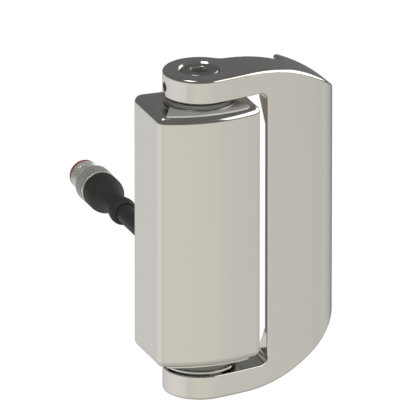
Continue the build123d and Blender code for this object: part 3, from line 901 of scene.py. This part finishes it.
    def build(self, wardrobe: Wardrobe) -> bpy.types.Object:
        """Builds the nut as one mesh that rides on its own body.

        Args:
            wardrobe: The finishes.

        Returns:
            The nut.
        """
        nut = bpy.data.objects.new("screw_nut", self.body())
        bpy.context.scene.collection.objects.link(nut)
        group, inputs = self.tree()
        thread_length = (
            self.thread_end - self.start - self.thread_lead_in - self.thread_run_out
        )
        rib_start = self.thread_end + self.chamfer
        rib_end = self.knurl_end - self.rim_width - self.chamfer
        rib_circle = self.knurl_radius - self.rib_radius
        values = {
            "Finish": wardrobe.material(NICKEL),
            "Thread Turns": thread_length / self.thread_pitch,
            "Thread Radius": self.thread_radius - self.thread_depth,
            "Thread Length": thread_length,
            "Thread Ridge": self.thread_depth,
            "Thread Place": (0.0, self.tip - self.thread_end + self.thread_run_out, self.height),
            "Rib Count": self.rib_count,
            "Rib Circle": rib_circle,
            "Rib Radius": self.rib_radius,
            "Rib Length": rib_end - rib_start,
            "Rib Place": (0.0, self.tip - (rib_start + rib_end) / 2, self.height),
        }
        modifier = nut.modifiers.new("thread_and_knurl", "NODES")
        modifier.node_group = group
        for name, value in values.items():
            modifier[inputs[name]] = value
        depsgraph = bpy.context.evaluated_depsgraph_get()
        mesh = bpy.data.meshes.new_from_object(nut.evaluated_get(depsgraph))
        nut.modifiers.clear()
        nut.data = mesh
        mesh.shade_smooth()
        mesh.set_sharp_from_angle(angle=math.radians(self.sharp_angle))
        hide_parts("coupling_nut")
        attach(nut, "nut")
        log.info("nut with %d faces", len(mesh.polygons))
        return nut


class Seen(Enum):
    """Which surfaces a lamp lights."""

    ALL = "all"
    METAL = "metal"
    DULL = "dull"


@dataclass(frozen=True)
class Lamp:
    """A softbox that faces the object.

    Args:
        name: The lamp's name.
        azimuth: Its angle round the object from the front, towards +X, in degrees.
        elevation: Its angle above the horizon, in degrees.
        width: Its width.
        height: Its height.
        power: Its power in watts.
        seen: Which surfaces it lights.
        distance: How far away it stands.
    """

    name: str
    azimuth: float
    elevation: float
    width: float
    height: float
    power: float
    seen: Seen
    distance: float = 1.2

    def build(self) -> None:
        """Adds the lamp, turned towards the object."""
        data = bpy.data.lights.new(self.name, "AREA")
        data.shape = "RECTANGLE"
        data.size = self.width
        data.size_y = self.height
        data.energy = self.power
        lamp = bpy.data.objects.new(self.name, data)
        bpy.context.scene.collection.objects.link(lamp)
        direction = heading(self.azimuth, self.elevation)
        lamp.location = direction * self.distance
        lamp.rotation_mode = "QUATERNION"
        lamp.rotation_quaternion = (-direction).to_track_quat("-Z", "Y")
        lamp.visible_diffuse = self.seen is not Seen.METAL
        lamp.visible_glossy = self.seen is not Seen.DULL


@dataclass
class Studio:
    """Camera, pale floor, surroundings and lamps.

    Args:
        aim: The point that the camera looks at.
        azimuth: The camera's angle round the object, in degrees.
        elevation: The camera's angle above the horizon, in degrees.
        pixels_per_metre: The photograph's scale at the object.
        picture_width: The photograph's width, in pixels.
        lens: A very long lens, so that the view is nearly parallel, in millimetres.
        sensor: The camera's sensor width, in millimetres.
        clip_near: Where the view starts, as a share of the camera's distance.
        clip_far: Where it ends, as a share of the same.
        floor_level: The floor's height.
        floor_half: Half of the floor's width.
        floor_colour: What lamps see of the floor.
        floor_shown: What the camera sees of it.
        floor_glow: How much of what camera and mirrors see of it is glow.
        floor_painted_shadow: A painted shadow under the object: how the floor's glow rises with
            the distance from under it.
        floor_fall: How its colour falls further out.
        floor_least: The least colour that mirrors see of it.
        floor_colours: Its colour by azimuth from the front, in degrees. The two ends of the
            full turn come first.
        sky_fall: How the room dims from below the horizon to above it.
        room_colour: The room's colour.
        lamps: The softboxes.
    """

    aim: Vector = field(default_factory=lambda: Vector((1.44, -13.05, 10.26)) * MM)
    azimuth: float = -20.0
    elevation: float = 20.0
    pixels_per_metre: float = 2613.0
    picture_width: float = 400.0
    lens: float = 1600.0
    sensor: float = 36.0
    clip_near: float = 0.1
    clip_far: float = 3.0
    floor_level: float = -0.3
    floor_half: float = 4.0
    floor_colour: Colour = (0.9, 0.89, 0.87)
    floor_shown: Colour = (1.03, 1.03, 1.03)
    floor_glow: float = 0.96
    # Painted shadow: the floor's glow is darker under the object and rises further out.
    floor_painted_shadow: Step = (0.15, 0.7, 0.6, 1.0)
    floor_fall: Step = (1.2, 1.9, 1.0, 0.2)
    floor_least: Colour = (0.19, 0.192, 0.198)
    sky_fall: Step = (-0.2, -0.1, 0.95, 0.2)
    room_colour: Colour = (0.98, 0.99, 1.02)
    floor_colours: tuple[tuple[float, Colour], ...] = (
        (-180.0, (0.6, 0.6, 0.6)),
        (180.0, (0.6, 0.6, 0.6)),
        (-167.0, (0.89, 0.9, 0.91)),
        (-155.0, (0.93, 0.94, 0.95)),
        (-133.0, (1.1, 1.1, 1.1)),
        (-100.0, (1.2, 1.2, 1.22)),
        (-75.0, (1.14, 1.15, 1.16)),
        (-60.0, (1.11, 1.12, 1.14)),
        (-57.0, (0.97, 0.99, 0.93)),
        (-28.0, (1.06, 1.075, 1.01)),
        (0.0, (1.05, 1.045, 0.98)),
        (20.0, (1.025, 1.02, 0.975)),
        (35.0, (0.97, 0.96, 0.95)),
        (50.0, (0.96, 0.96, 0.95)),
        (68.0, (0.92, 0.93, 0.91)),
        (80.0, (0.86, 0.88, 0.87)),
        (105.0, (0.86, 0.88, 0.87)),
        (125.0, (0.6, 0.6, 0.6)),
        (140.0, (0.25, 0.25, 0.25)),
        (165.0, (0.3, 0.3, 0.3)),
    )
    lamps: tuple[Lamp, ...] = (
        Lamp("right_panel", 79.0, 17.0, width=3.0, height=0.86, power=18.0, seen=Seen.METAL),
        Lamp("overhead_softbox", -69.0, 65.5, width=0.42, height=0.42, power=2.6, seen=Seen.ALL),
        Lamp("right_softbox", 100.0, 35.0, width=0.5, height=0.5, power=2.6, seen=Seen.DULL),
        Lamp("front_fill", -30.0, 35.0, width=2.0, height=2.0, power=15.0, seen=Seen.DULL),
    )

    def build(self) -> None:
        """Builds the camera, the world, the floor and the lamps."""
        self.camera()
        self.world()
        self.floor()
        for lamp in self.lamps:
            lamp.build()
        log.info("studio built")

    def camera(self) -> None:
        """Places the camera where the photograph was taken from."""
        data = bpy.data.cameras.new("camera")
        data.lens = self.lens
        data.sensor_width = self.sensor
        width = self.picture_width / self.pixels_per_metre
        distance = width * self.lens / self.sensor
        back = heading(self.azimuth, self.elevation)
        data.clip_start = distance * self.clip_near
        data.clip_end = distance * self.clip_far
        camera = bpy.data.objects.new("camera", data)
        bpy.context.scene.collection.objects.link(camera)
        camera.location = self.aim + back * distance
        camera.rotation_mode = "QUATERNION"
        camera.rotation_quaternion = (-back).to_track_quat("-Z", "Y")
        bpy.context.scene.camera = camera

    def world(self) -> None:
        """Surrounds the scene with a dim room above the horizon and a pale one below it."""
        world = bpy.data.worlds.new("room")
        bpy.context.scene.world = world
        world.use_nodes = True
        tree = world.node_tree
        tree.nodes.clear()
        out = add_node(tree, "ShaderNodeOutputWorld")
        place = add_node(tree, "ShaderNodeTexCoord")
        split = add_node(tree, "ShaderNodeSeparateXYZ")
        tree.links.new(place.outputs["Generated"], split.inputs[0])
        height = smooth_step(tree, split.outputs["Z"], self.sky_fall)
        room = add_node(tree, "ShaderNodeBackground")
        tree.links.new(height, room.inputs["Strength"])
        room.inputs["Color"].default_value = (*self.room_colour, 1.0)
        white = add_node(tree, "ShaderNodeBackground")
        path = add_node(tree, "ShaderNodeLightPath")
        white.inputs["Color"].default_value = (1.0, 1.0, 1.0, 1.0)
        mix = add_node(tree, "ShaderNodeMixShader")
        tree.links.new(path.outputs["Is Camera Ray"], mix.inputs[0])
        tree.links.new(room.outputs[0], mix.inputs[1])
        tree.links.new(white.outputs[0], mix.inputs[2])
        tree.links.new(mix.outputs[0], out.inputs["Surface"])

    def floor(self) -> None:
        """Lays a wide pale floor well below the object."""
        mesh = bpy.data.meshes.new("floor")
        half = self.floor_half
        sides = ((-half, -half), (half, -half), (half, half), (-half, half))
        corners = [(x, y, self.floor_level) for x, y in sides]
        mesh.from_pydata(corners, [], [tuple(range(len(corners)))])
        floor = bpy.data.objects.new("floor", mesh)
        bpy.context.scene.collection.objects.link(floor)
        material = bpy.data.materials.new("pale_floor")
        material.use_nodes = True
        tree = material.node_tree
        tree.nodes.clear()
        out = add_node(tree, "ShaderNodeOutputMaterial")
        pale = add_node(tree, "ShaderNodeBsdfDiffuse")
        pale.inputs["Color"].default_value = (*self.floor_colour, 1.0)
        glow = add_node(tree, "ShaderNodeEmission")
        tree.links.new(self.floor_shade(tree), glow.inputs["Color"])
        path = add_node(tree, "ShaderNodeLightPath").outputs
        seen = math_node(tree, "MAXIMUM", path["Is Camera Ray"], path["Is Glossy Ray"])
        seen = math_node(tree, "MAXIMUM", seen, path["Is Transmission Ray"])
        amount = math_node(tree, "MULTIPLY", seen, self.floor_glow)
        mix = add_node(tree, "ShaderNodeMixShader")
        tree.links.new(amount, mix.inputs[0])
        tree.links.new(pale.outputs[0], mix.inputs[1])
        tree.links.new(glow.outputs[0], mix.inputs[2])
        tree.links.new(mix.outputs[0], out.inputs["Surface"])
        mesh.materials.append(material)

    def floor_shade(self, tree: bpy.types.NodeTree) -> bpy.types.NodeSocket:
        """Colours the floor as polished metal sees it: warm in front, cooler to the left, and
        darker under the object, a painted shadow.

        Args:
            tree: The floor's node tree.

        Returns:
            White for the camera, and the floor's colour for reflections.
        """
        place = add_node(tree, "ShaderNodeTexCoord")
        split = add_node(tree, "ShaderNodeSeparateXYZ")
        tree.links.new(place.outputs["Object"], split.inputs[0])
        front = math_node(tree, "MULTIPLY", split.outputs["Y"], -1.0)
        angle = math_node(tree, "ARCTAN2", split.outputs["X"], front)
        turn = math_node(tree, "DIVIDE", angle, 2 * math.pi)
        share = math_node(tree, "ADD", turn, RAMP_FRONT)
        ramp = add_node(tree, "ShaderNodeValToRGB")
        tree.links.new(share, ramp.inputs["Fac"])
        # A new ramp has a stop at each end. The one that is added last is kept after the end's,
        # so it shows only in a thin seam there.
        stops = ramp.color_ramp.elements
        own = len(stops)
        for index, (azimuth, colour) in enumerate(self.floor_colours):
            stop = stops[index] if index < own else stops.new(1.0)
            stop.position = azimuth / FULL_TURN + RAMP_FRONT
            stop.color = (*colour, 1.0)
        reach = add_node(tree, "ShaderNodeVectorMath", operation="LENGTH")
        tree.links.new(place.outputs["Object"], reach.inputs[0])
        # Painted shadow under the object, times the dimming further out.
        shade = math_node(
            tree,
            "MULTIPLY",
            smooth_step(tree, reach.outputs["Value"], self.floor_painted_shadow),
            smooth_step(tree, reach.outputs["Value"], self.floor_fall),
        )
        dim = add_node(tree, "ShaderNodeVectorMath", operation="SCALE")
        tree.links.new(ramp.outputs["Color"], dim.inputs[0])
        tree.links.new(shade, dim.inputs["Scale"])
        least = add_node(tree, "ShaderNodeVectorMath", operation="MAXIMUM")
        tree.links.new(dim.outputs[0], least.inputs[0])
        least.inputs[1].default_value = self.floor_least
        path = add_node(tree, "ShaderNodeLightPath")
        mix = add_node(tree, "ShaderNodeMix", data_type="RGBA")
        tree.links.new(path.outputs["Is Camera Ray"], mix.inputs["Factor"])
        tree.links.new(least.outputs[0], mix.inputs[MIX_FIRST])
        mix.inputs[MIX_SECOND].default_value = (*self.floor_shown, 1.0)
        return mix.outputs[MIX_RESULT]


def main() -> None:
    """Dresses the frame, adds the cable and sets up the studio."""
    logging.basicConfig(level=logging.INFO, format="%(name)s: %(message)s")
    bpy.ops.wm.read_factory_settings(use_empty=True)
    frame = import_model()
    bpy.context.scene.view_settings.view_transform = "Standard"
    wardrobe = Wardrobe()
    Studio().build()
    plug = Plug()
    for group in (Castings(), HingeParts(), SensorBay(), plug):
        group.dress(frame, wardrobe)
    nut = CouplingNut().build(wardrobe)
    cable = Cable()
    lead = cable.build(wardrobe)
    cable.declare()


if __name__ == "__main__":
    main()
